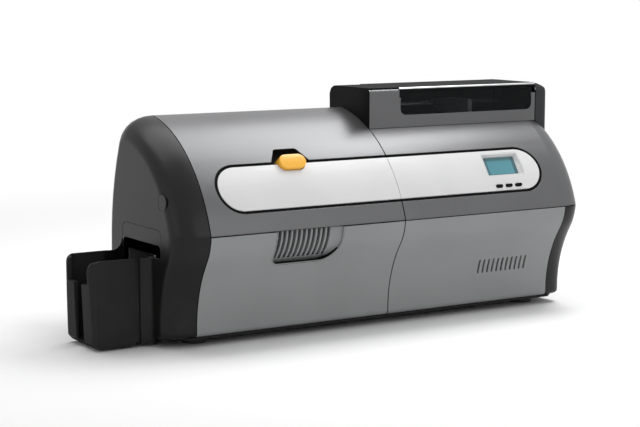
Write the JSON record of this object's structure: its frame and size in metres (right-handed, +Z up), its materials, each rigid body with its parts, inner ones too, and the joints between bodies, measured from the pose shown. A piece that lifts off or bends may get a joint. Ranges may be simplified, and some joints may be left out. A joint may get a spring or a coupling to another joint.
{
  "type": "card printer",
  "caption": "Desktop card printer with a side output hopper, a hinged print cover over the card path, a menu strip with a small display and a lidded card hopper.",
  "frame": {"origin": "centre of the bounding box in plan, on the desk plane under the feet", "axes": "+X to the right along the body, +Y to the back, +Z up; the front with the menu strip faces -Y"},
  "size_m": [0.708, 0.277, 0.306],
  "materials": {
    "dark_shell": "satin",
    "silver_cover": "satin",
    "grey_panel": "satin",
    "white_trim": "gloss",
    "yellow_button": "gloss",
    "black_plastic": "gloss",
    "black_moulding": "matte",
    "lcd_glass": "gloss",
    "rubber": "matte",
    "zinc_steel": "satin",
    "ground_steel": "polished",
    "board_green": "satin",
    "natural_nylon": "satin",
    "smoked_window": "gloss",
    "blue_rubber": "satin",
    "belt_rubber": "matte",
    "finned_aluminium": "satin"
  },
  "bodies": {
    "chassis": {"base_pan": "black_moulding", "rubber_feet": "rubber", "left_end_cap": "dark_shell", "right_end_cap": "dark_shell", "left_front_panel": "grey_panel", "right_front_panel": "grey_panel", "vent_grille": "grey_panel", "feeder_cover": "silver_cover", "feeder_trim": "white_trim", "display_bezel": "white_trim", "lcd_screen": "lcd_glass", "exit_bezel": "dark_shell", "side_plug": "dark_shell", "output_hopper": "black_moulding", "rear_cover": "dark_shell", "connector_plate": "zinc_steel", "power_inlet": "black_moulding", "usb_socket": "zinc_steel", "ethernet_socket": "zinc_steel", "power_supply": "zinc_steel", "main_board": "board_green", "fan_frame": "black_moulding", "front_frame": "zinc_steel", "rear_frame": "zinc_steel", "tie_rods": "ground_steel", "roller_bushes": "natural_nylon", "card_guide": "black_moulding", "drive_motor": "black_moulding", "drive_belt": "belt_rubber", "cover_hinge_pins": "ground_steel", "hopper_housing": "black_plastic", "hopper_front": "silver_cover", "lid_hinge_pin": "ground_steel", "pusher_rod": "ground_steel"},
    "cover": {"print_cover": "silver_cover", "cover_trim": "white_trim", "head_bracket": "zinc_steel", "print_head": "finned_aluminium"},
    "latch_release": {"latch_button": "yellow_button"},
    "latch_lever": {"latch_hook": "black_moulding"},
    "lid": {"hopper_lid": "black_plastic", "lid_window": "smoked_window"},
    "pusher": {"card_pusher": "black_moulding"},
    "menu_left": {"menu_button_left": "black_plastic"},
    "menu_middle": {"menu_button_middle": "black_plastic"},
    "menu_right": {"menu_button_right": "black_plastic"},
    "mains_switch": {"power_rocker": "black_plastic"},
    "fan": {"fan_rotor": "black_moulding"},
    "platen": {"platen_roller": "rubber"},
    "eject": {"eject_roller": "rubber"},
    "exit": {"exit_roller": "rubber"},
    "transfer": {"transfer_roller": "rubber"},
    "cleaner": {"cleaning_roller": "blue_rubber"},
    "motor_shaft": {"motor_pulley": "ground_steel"},
    "flipper": {"flip_carriage": "black_moulding"},
    "feed": {"feed_roller": "rubber"},
    "pick": {"pick_roller": "rubber"},
    "supply": {"supply_spool": "black_moulding"},
    "takeup": {"takeup_spool": "black_moulding"}
  },
  "joints": [
    {"name": "cover_hinge", "type": "hinge", "parent": "chassis", "child": "cover", "pos_m": [-0.0913, 0.05494, 0.226], "axis": [-1, 0, 0], "range_deg": [0, 78]},
    {"name": "latch_push", "type": "slide", "parent": "cover", "child": "latch_release", "axis": [0, 0.8311, -0.5561], "range_m": [0, 0.003], "stiffness_N_per_m": 300},
    {"name": "latch_pivot", "type": "hinge", "parent": "cover", "child": "latch_lever", "pos_m": [-0.0945, -0.08362, 0.19102], "axis": [-1, 0, 0], "range_deg": [0, 9.99]},
    {"name": "lid_hinge", "type": "hinge", "parent": "chassis", "child": "lid", "pos_m": [0.21295, 0.0397, 0.3018], "axis": [-1, 0, 0], "range_deg": [0, 95]},
    {"name": "pusher_slide", "type": "slide", "parent": "chassis", "child": "pusher", "axis": [1, 0, 0], "range_m": [-0.111, 0.089]},
    {"name": "menu_left_push", "type": "slide", "parent": "chassis", "child": "menu_left", "axis": [0, 0.8311, -0.5561], "range_m": [0, 0.0008], "stiffness_N_per_m": 400},
    {"name": "menu_middle_push", "type": "slide", "parent": "chassis", "child": "menu_middle", "axis": [0, 0.8311, -0.5561], "range_m": [0, 0.0008], "stiffness_N_per_m": 400},
    {"name": "menu_right_push", "type": "slide", "parent": "chassis", "child": "menu_right", "axis": [0, 0.8311, -0.5561], "range_m": [0, 0.0008], "stiffness_N_per_m": 400},
    {"name": "mains_rocker", "type": "hinge", "parent": "chassis", "child": "mains_switch", "pos_m": [0.2265, 0.1289, 0.0385], "axis": [1, 0, 0], "range_deg": [-8, 8]},
    {"name": "fan_spin", "type": "hinge", "parent": "chassis", "child": "fan", "pos_m": [-0.1445, 0.1235, 0.112], "axis": [0, 1, 0], "continuous": true},
    {"name": "platen_spin", "type": "hinge", "parent": "chassis", "child": "platen", "pos_m": [-0.0945, -0.02, 0.116], "axis": [0, 1, 0], "continuous": true},
    {"name": "eject_spin", "type": "hinge", "parent": "chassis", "child": "eject", "pos_m": [-0.2545, -0.02, 0.116], "axis": [0, 1, 0], "continuous": true},
    {"name": "exit_spin", "type": "hinge", "parent": "chassis", "child": "exit", "pos_m": [-0.1745, -0.02, 0.116], "axis": [0, 1, 0], "continuous": true},
    {"name": "transfer_spin", "type": "hinge", "parent": "chassis", "child": "transfer", "pos_m": [-0.0145, -0.02, 0.116], "axis": [0, 1, 0], "continuous": true},
    {"name": "cleaner_spin", "type": "hinge", "parent": "chassis", "child": "cleaner", "pos_m": [-0.0145, -0.02, 0.1332], "axis": [0, 1, 0], "continuous": true},
    {"name": "motor_spin", "type": "hinge", "parent": "chassis", "child": "motor_shaft", "pos_m": [-0.1345, 0.022, 0.056], "axis": [0, 1, 0], "continuous": true},
    {"name": "flip_turn", "type": "hinge", "parent": "chassis", "child": "flipper", "pos_m": [0.0769, -0.02, 0.1244], "axis": [0, 1, 0], "continuous": true},
    {"name": "feed_spin", "type": "hinge", "parent": "chassis", "child": "feed", "pos_m": [0.0682, -0.02, 0.191], "axis": [0, 1, 0], "continuous": true},
    {"name": "pick_spin", "type": "hinge", "parent": "chassis", "child": "pick", "pos_m": [0.0669, -0.02, 0.243], "axis": [0, 1, 0], "continuous": true},
    {"name": "takeup_spin", "type": "hinge", "parent": "chassis", "child": "takeup", "pos_m": [-0.0225, -0.02, 0.176], "axis": [0, 1, 0], "continuous": true},
    {"name": "supply_spin", "type": "hinge", "parent": "chassis", "child": "supply", "pos_m": [-0.1705, -0.02, 0.176], "axis": [0, 1, 0], "continuous": true}
  ],
  "couplings": [
    {"joint": "latch_pivot", "follows": "latch_push", "rad_per_m": 56.388},
    {"joint": "eject_spin", "follows": "platen_spin", "ratio": 1},
    {"joint": "exit_spin", "follows": "platen_spin", "ratio": 1},
    {"joint": "transfer_spin", "follows": "platen_spin", "ratio": 1},
    {"joint": "cleaner_spin", "follows": "platen_spin", "ratio": -1},
    {"joint": "motor_spin", "follows": "platen_spin", "ratio": 1.2857},
    {"joint": "takeup_spin", "follows": "supply_spin", "ratio": 1.6875}
  ]
}
